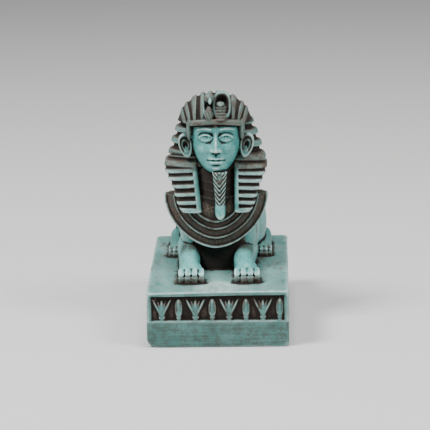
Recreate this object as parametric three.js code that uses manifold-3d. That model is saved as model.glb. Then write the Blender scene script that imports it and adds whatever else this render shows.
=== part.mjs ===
// A small cast sphinx on its plinth: a crouching lion with the head of a king in a striped headcloth.
// Millimetres, +Z up. The origin is in the middle of the plinth's underside, and the sphinx looks along -Y.
// It was cast in one mould, so the whole of it is one solid.

import * as THREE from "three";
import { mergeVertices } from "three/addons/utils/BufferGeometryUtils.js";
import Module from "manifold-3d";

// The sphinx from the soles of its paws to the top of the cobra, and the plinth round it.
const SPHINX_HEIGHT = 76;
const PLINTH_HEIGHT = 23;
const SIDE_MARGIN = 5.6;
const FRONT_MARGIN = 12.9;
const BACK_MARGIN = 3.6;
const CORNER_RADIUS = 1.7;

// The frieze of lotus flowers and buds, sunk into the four sides of the plinth.
const FRIEZE_BASE = 11.2;
const FRIEZE_HEIGHT = 10;
const FRIEZE_DEPTH = 1.2;
const FRIEZE_END_MARGIN = 1.9;
const RELIEF_INSET = 0.2;
const MOTIF_PITCH = 6.6;
const LOTUS_WIDTH = 7.9;
const BUD_WIDTH = 3;
const MOTIF_MARGIN = 0.7;
const END_GAP = 0.3;

// The figure is laid out in units that are a millimetre at the height above, so that it grows as one carving.
const LAYOUT_HEIGHT = 76;
const UNIT = SPHINX_HEIGHT / LAYOUT_HEIGHT;
const HALF_WIDTH = 22.4;
const PAW_TIP = -39.6;
const RUMP = 48.9;
const SINK = 2.5;

const PLINTH_WIDTH = 2 * (HALF_WIDTH * UNIT + SIDE_MARGIN);
const PLINTH_LENGTH = (RUMP - PAW_TIP) * UNIT + FRONT_MARGIN + BACK_MARGIN;
const FIGURE_SHIFT = FRONT_MARGIN - PLINTH_LENGTH / 2 - PAW_TIP * UNIT;

const PATINA = new THREE.MeshStandardMaterial({ color: 0x6fb0a4, roughness: 0.62, metalness: 0 });

const wasm = await Module();
wasm.setup();

// Helpers

// A closed geometry as a solid that can be joined and cut, with its faces turned outwards.
function solid(geometry) {
  const bare = geometry.clone();
  bare.deleteAttribute("normal");
  bare.deleteAttribute("uv");
  const merged = mergeVertices(bare, 1e-4);
  const vertProperties = merged.attributes.position.array;
  const triVerts = new Uint32Array(merged.index.array);
  const made = new wasm.Manifold(new wasm.Mesh({ numProp: 3, vertProperties, triVerts }));
  if (made.volume() > 0) return made;
  triVerts.reverse();
  return new wasm.Manifold(new wasm.Mesh({ numProp: 3, vertProperties, triVerts }));
}

const join = (...solids) => solids.flat(Infinity).reduce((whole, piece) => whole.add(piece));

// A solid without the pockets that forms can shut in between them: only its largest shell is kept.
const outerShell = (made) => made.decompose().reduce((a, b) => (b.volume() > a.volume() ? b : a));

// A skin drawn over rows of points. pointAt(row, turn) gives the point of a row at a turn from 0 to 2 pi,
// and the first and last rows close to their own middles.
function skin(rows, around, pointAt) {
  const geometry = new THREE.SphereGeometry(1, around, rows + 1);
  const { position, uv } = geometry.attributes;
  const middle = (row) => {
    const sum = new THREE.Vector3();
    for (let i = 0; i < around; i++) sum.add(pointAt(row, (2 * Math.PI * i) / around));
    return sum.divideScalar(around);
  };
  const ends = [middle(0), middle(rows - 1)];
  for (let i = 0; i < position.count; i++) {
    const line = Math.round((1 - uv.getY(i)) * (rows + 1));
    const step = Math.round(uv.getX(i) * around) % around;
    const atEnd = line === 0 ? ends[0] : ends[1];
    const inside = line > 0 && line <= rows;
    const point = inside ? pointAt(line - 1, (2 * Math.PI * step) / around) : atEnd;
    position.setXYZ(i, point.x, point.y, point.z);
  }
  return solid(geometry);
}

// Cosine and sine of a superellipse: squareness 2 is a round, 4 is nearly a box.
const bowCos = (turn, squareness) => Math.sign(Math.cos(turn)) * Math.abs(Math.cos(turn)) ** (2 / squareness);
const bowSin = (turn, squareness) => Math.sign(Math.sin(turn)) * Math.abs(Math.sin(turn)) ** (2 / squareness);

// A smooth line through the rows of a table, whose first column is the place along the form.
function along(table) {
  const places = table.map((row) => row[0]);
  const values = table.flatMap((row) => row.slice(1));
  const curve = new THREE.CubicInterpolant(places, values, table[0].length - 1);
  return (place) => Array.from(curve.evaluate(place));
}

const spread = (from, to, count) => Array.from({ length: count }, (_, i) => from + ((to - from) * i) / (count - 1));

const hump = (value, centre, width) => Math.exp(-(((value - centre) / width) ** 2));

// A ball stretched to three half sizes, turned about X, at a place.
function ball(centre, sizes, tilt = 0, around = 14, down = 10) {
  const geometry = new THREE.SphereGeometry(1, around, down);
  geometry.scale(...sizes);
  geometry.rotateX(tilt);
  geometry.translate(...centre);
  return solid(geometry);
}

// A turn round a form whose back is hidden: three quarters of the steps go to the front, closest in its middle.
function frontward(turn, crowding) {
  const share = turn / (2 * Math.PI);
  if (share < 0.25) return share * 4 * Math.PI;
  const front = Math.PI * (1 + (share - 0.25) / 0.75);
  return front + crowding * Math.sin(2 * front);
}

// A form that lies along Y. Each row of the table is [y, half width, top], and all of it stands on the plinth.
function lying(table, middleX, count, around = 14, squareness = 2.4) {
  const at = along(table);
  const places = spread(table[0][0], table.at(-1)[0], count);
  return skin(count, around, (row, turn) => {
    const y = places[row];
    const [halfWidth, top] = at(y);
    const half = (top + SINK) / 2;
    const x = middleX(y) + halfWidth * bowCos(turn, squareness);
    return new THREE.Vector3(x, y, half - SINK + half * bowSin(turn, squareness));
  });
}

const mirrored = (make) => [make(1), make(-1)];

// The lion

const HAUNCH_DRIFT = 0.9;
const SHOULDER_DRIFT = -0.8;
const PAW_DRIFT = 0.5;
const LEG_X = 11.3;
const HIND_FOOT_X = 18.4;

// The forelegs run a little aslant, as they were carved.
function legX(side) {
  return (y) => {
    const share = THREE.MathUtils.clamp((y + 22) / (PAW_TIP + 24), 0, 1);
    return side * LEG_X + THREE.MathUtils.lerp(SHOULDER_DRIFT, PAW_DRIFT, share);
  };
}

function torso() {
  const rows = [
    [-13.5, 6.5, 17],
    [-12, 10.5, 25],
    [-8, 14.2, 31],
    [-2, 16.3, 33],
    [6, 16.2, 31.5],
    [14, 15.2, 29],
    [22, 15, 28],
    [30, 15.3, 28.2],
    [37, 14, 26],
    [43, 10.5, 20.5],
    [46.8, 5, 12],
  ];
  return lying(rows, () => 0, 11, 16);
}

function haunch(side) {
  return ball([side * 10 + HAUNCH_DRIFT, 26.5, 12], [8.7, 17, 15.4], 0.16, 14, 10);
}

function upperArm(side) {
  return ball([side * 11, -2.5, 15], [4.8, 9.5, 15], -0.12, 10, 8);
}

function foreleg(side) {
  const rows = [
    [7, 3, 7],
    [4, 4.9, 11.5],
    [-5, 4.7, 12],
    [-14, 4.3, 10.2],
    [-22, 4.1, 9.3],
    [-29, 4.1, 8.4],
    [-33, 4.6, 7.4],
    [-35.5, 5, 6],
  ];
  return lying(rows, legX(side), 7, 10);
}

function hindFoot(side) {
  const rows = [
    [41, 2, 4],
    [38, 3.1, 6.6],
    [30, 3.3, 6.2],
    [21, 3.2, 5],
    [15, 3.5, 4.6],
  ];
  return lying(rows, () => side * HIND_FOOT_X, 6, 10);
}

// A paw as a block with three grooves between four toes. Its section goes round by hand: the share of the half
// width, the share of the height, and whether a groove runs there.
const PAW_SECTION = [
  [1, 0.5, 0],
  [0.8, 0.98, 0],
  [0.5, 0.98, 1],
  [0.25, 1, 0],
  [0, 1, 1],
  [-0.25, 1, 0],
  [-0.5, 0.98, 1],
  [-0.8, 0.98, 0],
  [-1, 0.5, 0],
  [-1, 0, 0],
  [0, 0, 0],
  [1, 0, 0],
];

function paw(middle, tip, halfWidth, length, height) {
  const rows = [
    [1, 0.8, 1.25, 0],
    [0.62, 1, 1.05, 0.06],
    [0.34, 1.04, 0.86, 0.24],
    [0.1, 1, 0.66, 0.34],
    [0, 0.92, 0.42, 0.3],
  ];
  return skin(rows.length, PAW_SECTION.length, (row, turn) => {
    const [back, wide, high, groove] = rows[row];
    const [x, z, cut] = PAW_SECTION[Math.round((turn / (2 * Math.PI)) * PAW_SECTION.length)];
    const top = height * (high - groove * cut) + SINK;
    const inward = row === rows.length - 1 ? 0.7 * cut + 0.5 * x * x : 0;
    return new THREE.Vector3(middle + halfWidth * wide * x, tip + length * back + inward, z * top - SINK);
  });
}

function paws() {
  const front = mirrored((side) => paw(legX(side)(PAW_TIP), PAW_TIP, 5.4, 10, 5.4));
  const hind = mirrored((side) => paw(side * HIND_FOOT_X, 9.8, 3.7, 8, 4));
  return [...front, ...hind];
}

// The tail leaves the rump, lies round the right haunch and ends in a tuft on the thigh.
function tail() {
  const route = new THREE.CatmullRomCurve3(
    [
      [0, 43, 6],
      [-6, 47, 3],
      [-13, 46, 1.6],
      [-17.4, 41.5, 4],
      [-18.2, 35, 9],
      [-17.4, 29, 12.8],
      [-17, 25, 14],
    ].map((p) => new THREE.Vector3(...p)),
  );
  const section = new THREE.Shape().absarc(0, 0, 1.5, 0, 2 * Math.PI);
  const geometry = new THREE.ExtrudeGeometry(section, { steps: 11, curveSegments: 2, extrudePath: route });
  return [solid(geometry), ball([-16.8, 22, 14.4], [1.6, 4, 2.4], 0.2, 8, 6)];
}

function lion() {
  const legs = mirrored((side) => [haunch(side), upperArm(side), foreleg(side), hindFoot(side)]);
  return join(torso(), legs, paws(), tail());
}

// The broad collar

const COLLAR_DRIFT = -0.9;
const COLLAR_CENTRE = 31.6;
const COLLAR_RADIUS = 21.5;
const COLLAR_TIERS = 4;
const TIER_PITCH = 3.6;
const RIM_WIDTH = 0.8;
const RIM_HEIGHT = 0.75;

// Rings round the neck, one tier inside another, each with a raised rim at its lower edge. The sheet they lie
// on is upright over the chest and turns back over the shoulders.
function collar() {
  const rings = [];
  for (let tier = 0; tier < COLLAR_TIERS; tier++) {
    const outer = COLLAR_RADIUS - tier * TIER_PITCH;
    rings.push([outer, RIM_HEIGHT], [outer - RIM_WIDTH, RIM_HEIGHT], [outer - RIM_WIDTH - 0.25, 0]);
  }
  const behind = [
    [10, -14],
    [COLLAR_RADIUS - 3, -7],
    [COLLAR_RADIUS - 0.5, -2.2],
  ];
  const rows = [...behind, ...rings];
  return skin(rows.length, 22, (row, turn) => {
    const [radius, rise] = rows[row];
    const across = Math.sin(turn);
    const down = Math.cos(turn);
    const share = radius / COLLAR_RADIUS;
    const sheet = -18.4 + 9.4 * (share * across) ** 2;
    const over = Math.max(0, -down);
    const x = COLLAR_DRIFT + radius * across * Math.abs(across) ** 0.15;
    const y = sheet - rise + 11 * over * share + 1.2 * Math.max(0, down) * share;
    return new THREE.Vector3(x, y, COLLAR_CENTRE - radius * (down > 0 ? down : 0.05 * down));
  });
}

// The head

const HEAD_DRIFT = 0.3;
const CHIN = 41;
const BROW_BAND = 62.2;
const HEAD_MIDDLE_Y = -8.6;

// What the features raise the face by, towards the front, at a place on it. The eyes are half way up the head,
// the nose ends half way from the brows to the chin, and the mouth is a third of the rest below it.
const EYE_LINE = 56.2;
const BROW_LINE = 59.2;
const NOSE_BASE = 50.1;
const MOUTH_LINE = 47.1;
const EYE_X = 4;

function features(x, z) {
  const side = Math.abs(x);
  const down = THREE.MathUtils.clamp((BROW_LINE - z) / (BROW_LINE - NOSE_BASE - 0.8), 0, 1);
  const under = THREE.MathUtils.smoothstep(z, NOSE_BASE - 0.7, NOSE_BASE + 0.5);
  const nose = under * (0.5 + 2.3 * down) * hump(x, 0, 1.1 + 0.9 * down);
  const browArch = BROW_LINE + 0.7 - 0.05 * (side - EYE_X) ** 2;
  const brow = 0.75 * hump(z, browArch, 0.8) * (1 - hump(x, 0, 1.2)) * hump(x, 0, 9);
  const socket = 1.25 * hump(side, EYE_X, 2.6) * hump(z, EYE_LINE, 1.9);
  const eye = 1.05 * hump(side, EYE_X, 1.7) * hump(z, EYE_LINE, 0.95);
  const lips = 0.95 * hump(x, 0, 2.7) * (hump(z, MOUTH_LINE + 0.8, 0.65) + hump(z, MOUTH_LINE - 0.9, 0.75));
  const chin = 1.1 * hump(x, 0, 3) * hump(z, CHIN + 2.2, 1.6);
  const cheek = 0.7 * hump(side, 5.6, 2.4) * hump(z, 50.5, 3.4);
  return nose + brow - socket + eye + lips + chin + cheek;
}

function face() {
  const rows = [
    [CHIN - 0.6, 2.2, 6.2],
    [CHIN + 1, 4.7, 8],
    [CHIN + 3.5, 6.9, 8.9],
    [CHIN + 7, 8.7, 9.6],
    [CHIN + 11, 9.9, 9.9],
    [CHIN + 16, 10.3, 10.1],
    [BROW_BAND + 1.5, 10.2, 10.2],
  ];
  const at = along(rows);
  const jaw = spread(rows[0][0], MOUTH_LINE - 2.2, 4);
  const lips = spread(MOUTH_LINE - 1.4, MOUTH_LINE + 1.6, 5);
  const nose = [NOSE_BASE - 0.6, NOSE_BASE + 0.5, NOSE_BASE + 2];
  const eyes = spread(EYE_LINE - 2.2, EYE_LINE + 1.4, 5);
  const heights = [...jaw, ...lips, ...nose, ...eyes, BROW_LINE, BROW_LINE + 1.4, rows.at(-1)[0]];
  return skin(heights.length, 20, (row, turn) => {
    const z = heights[row];
    const [halfWidth, front] = at(z);
    const crowded = frontward(turn, 0.25);
    const x = halfWidth * bowCos(crowded, 2.3);
    const forward = Math.max(0, -Math.sin(crowded));
    const raised = features(x, z) * THREE.MathUtils.smoothstep(forward, 0.1, 0.6);
    return new THREE.Vector3(x, HEAD_MIDDLE_Y + front * bowSin(crowded, 2.3) - raised, z);
  });
}

const EAR_X = 12.3;
const EAR_Z = 52.6;

function ear(side) {
  const shell = ball([side * EAR_X, -12, EAR_Z], [2.4, 1.7, 4.6], 0.1, 10, 7);
  const hollow = ball([side * (EAR_X - 0.3), -13.6, EAR_Z + 0.5], [1.2, 1.3, 2.8], 0.1, 8, 6);
  return shell.subtract(hollow);
}

const BEARD_TOP = 41.6;
const BEARD_TIP = 23;

// The plaited beard of state: a tapering bar with notches cut across it, and a tip that curls forward.
function beard() {
  const rows = [
    [BEARD_TIP, 1.2, -22],
    [BEARD_TIP + 1.6, 2, -21.4],
    [BEARD_TIP + 4.5, 2.25, -20.6],
    [BEARD_TIP + 10, 2.5, -20.2],
    [BEARD_TOP, 3.1, -19.4],
  ];
  const at = along(rows);
  const plait = spread(BEARD_TIP + 5.4, BEARD_TOP - 1.6, 13).map((z, i) => [z, i % 2 === 0 ? -0.4 : 0.15]);
  const heights = [[BEARD_TIP, 0], [BEARD_TIP + 1.6, 0], [BEARD_TIP + 4.4, 0.2], ...plait, [BEARD_TOP, 0]];
  return skin(heights.length, 8, (row, turn) => {
    const [z, swell] = heights[row];
    const [halfWidth, front] = at(z);
    const x = (halfWidth + swell * 0.4) * bowCos(turn, 2.8);
    const back = -15.5;
    const y = (front + back) / 2 + ((back - front) / 2 + swell) * bowSin(turn, 2.8);
    const droop = 1.5 * Math.abs(x / halfWidth) * (row > 2 && row < heights.length - 1 ? 1 : 0);
    return new THREE.Vector3(0.8 + x, y, z + droop);
  });
}

function neck() {
  return ball([0, -6.5, 33], [8.5, 8.5, 15], 0, 14, 8);
}

// The striped headcloth

const WIDEST = 43.4;
const STRIPE_DEPTH = 0.95;
const WING_PITCH = 4.7;
const LAPPET_PITCH = 3.25;
const LAPPET_BASE = 25.2;

// Half the width of the headcloth as seen from the front, at a height.
const clothEdge = along([
  [LAPPET_BASE, 12.4],
  [27, 14.4],
  [30.5, 15.9],
  [33.7, 17.1],
  [36.7, 18.4],
  [39.8, 20.2],
  [WIDEST, 21.1],
  [48, 18.9],
  [53, 17.6],
  [58, 16.2],
  [62, 14.8],
  [66, 12.8],
  [69, 10.5],
]);

// Rows up a striped form: each stripe is a flat band with a groove below it, 1 where the band stands and 0 in
// the groove.
function stripes(from, to, pitch) {
  const count = Math.max(1, Math.round((to - from) / pitch));
  const step = (to - from) / count;
  const rows = [];
  for (let i = 0; i < count; i++) {
    const base = from + i * step;
    rows.push([base, 0], [base + step * 0.3, 1], [base + step * 0.85, 1]);
  }
  rows.push([to, 0]);
  return rows;
}

// The cloth round the back and sides of the head, falling to the shoulders.
function cowl() {
  const depths = along([
    [27, -9, 8],
    [36, -11, 9.2],
    [WIDEST, -11.4, 9.6],
    [50, -10.6, 9.4],
    [57, -10.8, 9],
    [63, -12, 8],
    [69, -11, 5.4],
  ]);
  const rows = [...stripes(27, WIDEST - 1.6, 3.7), ...stripes(WIDEST - 1.5, 67, WING_PITCH)];
  return skin(rows.length, 18, (row, turn) => {
    const [z, stand] = rows[row];
    const [front, back] = depths(z);
    const inset = STRIPE_DEPTH * (1 - stand);
    const halfWidth = clothEdge(z)[0] - inset;
    const halfDepth = (back - front) / 2 - inset;
    const x = halfWidth * bowCos(turn, 2.5);
    return new THREE.Vector3(x, (front + back) / 2 + halfDepth * bowSin(turn, 2.5), z);
  });
}

// The flap that hangs over the chest on one side, striped across, with a plain border along its inner edge.
const LAPPET_INNER = 6.5;
const BORDER_WIDTH = 1.9;

const lappetDepth = along([
  [LAPPET_BASE, -20.3, -12],
  [33, -19.2, -10],
  [40, -17.4, -8],
  [46, -14, -7],
  [51, -11.5, -7],
]);

function lappetPanel(side, rows, inner, outerAt, inset) {
  return skin(rows.length, 8, (row, turn) => {
    const [z, stand] = rows[row];
    const [front, back] = lappetDepth(z);
    const sunk = inset * (1 - stand);
    const outer = outerAt(z) - sunk;
    const bend = 0.012 * ((inner + outer) / 2) ** 2;
    const x = (inner + outer) / 2 + ((outer - inner) / 2) * bowCos(turn, 4);
    const halfDepth = (back - front) / 2 - sunk / 2;
    const y = (front + back) / 2 + sunk / 2 + bend + halfDepth * bowSin(turn, 4);
    return new THREE.Vector3(side * x, y, z);
  });
}

function lappet(side) {
  const striped = stripes(LAPPET_BASE + 1.4, 49, LAPPET_PITCH);
  const rows = [[LAPPET_BASE, 1], [LAPPET_BASE + 1.3, 1], ...striped];
  const border = spread(LAPPET_BASE, 43, 4).map((z) => [z, 1]);
  const edge = (z) => clothEdge(z)[0];
  return [
    lappetPanel(side, rows, LAPPET_INNER + 0.3, edge, STRIPE_DEPTH),
    lappetPanel(side, border, LAPPET_INNER, () => LAPPET_INNER + BORDER_WIDTH, 0),
  ];
}

// The crown of the headcloth, striped from front to back over the top of the head.
const CROWN_HALF = new THREE.Vector3(15.7, 13.2, 15.5);
const CROWN_MIDDLE = new THREE.Vector3(0, -5.2, 58);
const CROWN_STRIPE = 3.1;

function crown() {
  const rows = [[-CROWN_HALF.x + 0.6, 0]];
  for (let i = -4; i <= 4; i++) {
    const x = i * CROWN_STRIPE;
    rows.push([x - CROWN_STRIPE * 0.3, 1], [x + CROWN_STRIPE * 0.3, 1], [x + CROWN_STRIPE * 0.5, 0]);
  }
  rows.push([CROWN_HALF.x - 0.6, 0]);
  const dome = skin(rows.length, 14, (row, turn) => {
    const [x, stand] = rows[row];
    const share = (1 - Math.abs(x / CROWN_HALF.x) ** 2.2) ** (1 / 2.2);
    const inset = 0.8 * (1 - stand);
    const y = (CROWN_HALF.y * share - inset) * bowCos(turn, 2.2);
    return new THREE.Vector3(x, y, (CROWN_HALF.z * share - inset) * bowSin(turn, 2.2)).add(CROWN_MIDDLE);
  });
  return dome.trimByPlane([0, 0, 1], BROW_BAND + 0.5);
}

// The plain band across the forehead. It dips at the temples and comes down in front of the ears.
function browBand() {
  const rows = [
    [0, 11.6],
    [0.5, 12.3],
    [3, 12.3],
    [3.6, 11.6],
  ];
  const band = skin(rows.length, 18, (row, turn) => {
    const [rise, halfWidth] = rows[row];
    const x = halfWidth * bowCos(frontward(turn, 0), 2.6);
    const y = HEAD_MIDDLE_Y + (halfWidth - 0.5) * bowSin(frontward(turn, 0), 2.6);
    return new THREE.Vector3(x, y, BROW_BAND + rise - 0.013 * x * x);
  });
  const tabs = mirrored((side) => ball([side * 10.9, -12.6, 58.6], [1.3, 2.6, 4.4], 0.15, 8, 6));
  return [band, ...tabs];
}

// The cloth gathered behind the neck into a tail that lies on the lion's back.
function queue() {
  const rows = stripes(4, 21, 3.4);
  return skin(rows.length, 8, (row, turn) => {
    const [y, stand] = rows[row];
    const halfWidth = 3.9 - 0.07 * (y - 4) - 0.5 * (1 - stand);
    const middle = 31.6 - 0.2 * (y - 4);
    const z = middle + (halfWidth - 0.6) * bowSin(turn, 2.2);
    return new THREE.Vector3(halfWidth * bowCos(turn, 2.2), y, z);
  });
}

// The royal emblems

const EMBLEM_Z = 63.5;
const COBRA_X = 2.6;
const VULTURE_X = -2.9;

// The cobra rears with its hood spread: a hollow oval hood, a ribbed breast and a head under the top rim. Both
// emblems lean back against the crown.
const EMBLEM_LEAN = -0.26;

function cobra() {
  const hood = ball([COBRA_X, -17.6, EMBLEM_Z + 5.8], [3.4, 2.4, 6.6], EMBLEM_LEAN, 12, 9);
  const hollow = ball([COBRA_X, -19.4, EMBLEM_Z + 7.8], [2.4, 1.8, 3.7], EMBLEM_LEAN, 10, 6);
  const breast = spread(0.9, 4.8, 4).map((rise) => {
    return ball([COBRA_X, -19.6 + 0.26 * rise, EMBLEM_Z + rise], [2.2, 1.3, 0.8], 0, 6, 4);
  });
  const head = ball([COBRA_X, -18.8, EMBLEM_Z + 8.2], [1.2, 1.6, 1.3], 0, 8, 6);
  return [hood.subtract(hollow), ...breast, head];
}

// The vulture beside it: a bowed neck, a round head and a beak that turns down.
function vulture() {
  const neckPost = ball([VULTURE_X, -17.8, EMBLEM_Z + 4], [2.2, 2.2, 5.4], EMBLEM_LEAN, 8, 7);
  const head = ball([VULTURE_X + 0.2, -17.2, EMBLEM_Z + 8.9], [2.5, 2.7, 2.6], 0, 8, 7);
  const beak = ball([VULTURE_X + 0.4, -19.6, EMBLEM_Z + 7.2], [1, 1, 2.3], -0.3, 6, 5);
  return [neckPost, head, beak];
}

function kingsHead() {
  const cloth = [cowl(), ...mirrored(lappet).flat(), crown(), ...browBand(), queue()];
  const emblems = [...cobra(), ...vulture()];
  return join(neck(), face(), mirrored(ear), beard(), cloth, emblems).translate([HEAD_DRIFT, 0, 0]);
}

// The plinth

// The plinth's outline, seen from above: a rectangle with round corners.
function plinthOutline(width, length, radius) {
  const x = width / 2 - radius;
  const y = length / 2 - radius;
  return new THREE.Shape()
    .absarc(x, y, radius, 0, Math.PI / 2)
    .absarc(-x, y, radius, Math.PI / 2, Math.PI)
    .absarc(-x, -y, radius, Math.PI, 1.5 * Math.PI)
    .absarc(x, -y, radius, 1.5 * Math.PI, 2 * Math.PI);
}

function plinthBlock() {
  const bevel = 0.9;
  const outline = plinthOutline(PLINTH_WIDTH - 2 * bevel, PLINTH_LENGTH - 2 * bevel, CORNER_RADIUS - bevel);
  const geometry = new THREE.ExtrudeGeometry(outline, {
    depth: PLINTH_HEIGHT - 2 * bevel,
    bevelSize: bevel,
    bevelThickness: bevel,
    bevelSegments: 2,
    curveSegments: 2,
  });
  geometry.translate(0, 0, bevel);
  return solid(geometry);
}

// A lotus flower as an outline: two outer petals that spread from a narrow foot, and pointed petals between.
function lotusShape() {
  const half = LOTUS_WIDTH / 2;
  const height = FRIEZE_HEIGHT - 2 * MOTIF_MARGIN;
  const outline = [
    [0.9, 0],
    [1.05, 0.28 * height],
    [half, height],
    [0.34 * half, 0.6 * height],
    [0, height],
    [-0.34 * half, 0.6 * height],
    [-half, height],
    [-1.05, 0.28 * height],
    [-0.9, 0],
  ];
  return new THREE.Shape(outline.map(([x, y]) => new THREE.Vector2(x, y)));
}

// A closed bud: a pointed oval on a short foot.
function budShape() {
  const half = BUD_WIDTH / 2;
  const height = FRIEZE_HEIGHT - 2 * MOTIF_MARGIN;
  return new THREE.Shape()
    .moveTo(0.7 * half, 0)
    .lineTo(half, 0.68 * height)
    .lineTo(0, height)
    .lineTo(-half, 0.68 * height)
    .lineTo(-0.7 * half, 0);
}

// One side of the frieze, made at the origin facing -Y: the sunk ground, and the flowers and buds that stand
// in it.
function friezeSide(length) {
  const panel = length - 2 * FRIEZE_END_MARGIN;
  const ground = new THREE.BoxGeometry(panel, 2 * FRIEZE_DEPTH, FRIEZE_HEIGHT);
  ground.translate(0, 0, FRIEZE_BASE + FRIEZE_HEIGHT / 2);
  const ends = (LOTUS_WIDTH + BUD_WIDTH) / 2 + 2 * END_GAP;
  const count = 2 * Math.round((panel - ends) / MOTIF_PITCH / 2 + 0.5);
  const pitch = (panel - ends) / (count - 1);
  const relief = [];
  for (let i = 0; i < count; i++) {
    const shape = i % 2 === 0 ? lotusShape() : budShape();
    const motif = new THREE.ExtrudeGeometry(shape, {
      depth: 2 * FRIEZE_DEPTH - RELIEF_INSET,
      bevelEnabled: false,
      curveSegments: 3,
    });
    motif.rotateX(Math.PI / 2);
    const x = -panel / 2 + END_GAP + LOTUS_WIDTH / 2 + i * pitch;
    motif.translate(x, 2 * FRIEZE_DEPTH, FRIEZE_BASE + MOTIF_MARGIN);
    relief.push(solid(motif));
  }
  return { ground: solid(ground), relief: join(relief) };
}

function plinth() {
  const sides = [
    [PLINTH_WIDTH, PLINTH_LENGTH / 2, 0],
    [PLINTH_LENGTH, PLINTH_WIDTH / 2, 90],
    [PLINTH_WIDTH, PLINTH_LENGTH / 2, 180],
    [PLINTH_LENGTH, PLINTH_WIDTH / 2, 270],
  ];
  let block = plinthBlock();
  for (const [length, distance, turn] of sides) {
    const { ground, relief } = friezeSide(length);
    const place = (piece) => piece.translate([0, -distance, 0]).rotate([0, 0, turn]);
    block = block.subtract(place(ground)).add(place(relief));
  }
  return block;
}

// The whole casting

// Steps smaller than this, where one form runs into another, are smoothed away.
const SLIVER = 0.2;

function casting() {
  const figure = join(lion(), collar(), kingsHead())
    .scale([UNIT, UNIT, UNIT])
    .translate([0, FIGURE_SHIFT, PLINTH_HEIGHT]);
  return outerShell(plinth().add(figure).simplify(SLIVER));
}

// A solid as a three.js geometry.
function geometryOf(made) {
  const { vertProperties, triVerts } = made.getMesh();
  return new THREE.BufferGeometry()
    .setAttribute("position", new THREE.BufferAttribute(vertProperties, 3))
    .setIndex(new THREE.BufferAttribute(triVerts, 1));
}

const group = new THREE.Group();
const sphinx = new THREE.Mesh(geometryOf(casting()), PATINA);
sphinx.name = "sphinx_on_plinth";
group.add(sphinx);

export default group;
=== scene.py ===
import math

import bpy
import numpy as np
from mathutils import Matrix, Vector


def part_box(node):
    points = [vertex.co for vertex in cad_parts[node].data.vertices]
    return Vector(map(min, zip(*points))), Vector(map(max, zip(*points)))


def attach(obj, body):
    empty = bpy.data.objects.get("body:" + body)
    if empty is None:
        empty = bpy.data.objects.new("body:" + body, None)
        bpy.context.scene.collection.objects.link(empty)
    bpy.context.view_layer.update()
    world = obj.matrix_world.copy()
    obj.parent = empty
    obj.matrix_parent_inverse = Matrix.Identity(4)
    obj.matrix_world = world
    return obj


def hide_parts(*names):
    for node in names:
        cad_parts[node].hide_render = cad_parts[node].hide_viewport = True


bl_info = {
    "name": "Cast sphinx",
    "version": (1, 0, 0),
    "blender": (4, 5, 0),
    "location": "3D View > Sidebar > Sphinx",
    "description": "A small cast sphinx on a plinth with a lotus frieze, painted turquoise with a brown wash",
    "category": "Object",
}

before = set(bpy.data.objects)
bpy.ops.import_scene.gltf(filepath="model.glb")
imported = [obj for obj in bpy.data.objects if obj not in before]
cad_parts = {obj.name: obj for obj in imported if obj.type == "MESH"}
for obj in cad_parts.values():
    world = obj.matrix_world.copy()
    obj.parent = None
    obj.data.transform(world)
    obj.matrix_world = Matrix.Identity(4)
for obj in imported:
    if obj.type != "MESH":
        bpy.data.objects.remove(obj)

NODE = "sphinx_on_plinth"
MM = 0.001

# Sizes in millimetres. The figure stands on the plinth's top, and its heights are counted from there. A wash
# is a share from 0 to 1.
PLINTH = (57.2, 105.0, 23.0)
PLINTH_TOP = PLINTH[2]
FRIEZE_BASE = 11.2
FRIEZE_HEIGHT = 10.0
FRIEZE_DEPTH = 1.2
FRIEZE_END = 1.9
PANEL_THICK = 4.0
LOTUS_START = 4.25
BUD_END = 1.8
FLOWER_PITCH = 6.6
FLOWER_FOOT = 0.55
FLOWER_DEPTH = 1.05
POST = 0.95
PLINTH_WASH = 0.28
SAG = 0.45
FOOT_RADIUS = 3.6
SIDE_SPARE = 0.7
LEG_X = 11.3
HIND_FOOT_X = 18.4
PAW_TIP = -39.6
HEAD_DRIFT = -0.45
CLOTH_DRIFT = -0.8
BEARD_X = 0.95
HEAD_MIDDLE_Y = -8.6
CHIN = 41.0
EAR_X = 12.55
EAR_Z = 52.3
BAND_LOW = 62.2


# Curves and profiles


def smooth(value, low, high):
    """0 below low and 1 above high, with the cubic 3s^2 - 2s^3 between them."""
    s = np.clip((value - low) / (high - low), 0.0, 1.0)
    return s * s * (3.0 - 2.0 * s)


def hump(value, centre, width):
    """A bell: e to the minus square of the distance from the centre over the width."""
    return np.exp(-(((value - centre) / width) ** 2))


def column(low, high, count):
    """Even steps from low to high, one to a row of a grid."""
    return np.linspace(low, high, count)[:, None]


def turns(count):
    """Even steps round a full turn, one to a column of a grid."""
    return np.linspace(0, 2 * np.pi, count, endpoint=False)[None, :]


def ovals(inner, outer):
    """Shares of the way from the middle of a shell to its edge and back behind it, and which are in front."""
    share = np.concatenate([np.linspace(0.02, 1, inner), np.linspace(1, 0.05, outer)[1:]])[:, None]
    return share, (np.arange(len(share)) < inner)[:, None]


def bow(turn, squareness):
    """Cosine and sine of a superellipse: each is raised to 2 / squareness and keeps its sign."""
    c, s = np.cos(turn), np.sin(turn)
    power = 2.0 / squareness
    return np.sign(c) * np.abs(c) ** power, np.sign(s) * np.abs(s) ** power


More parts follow.
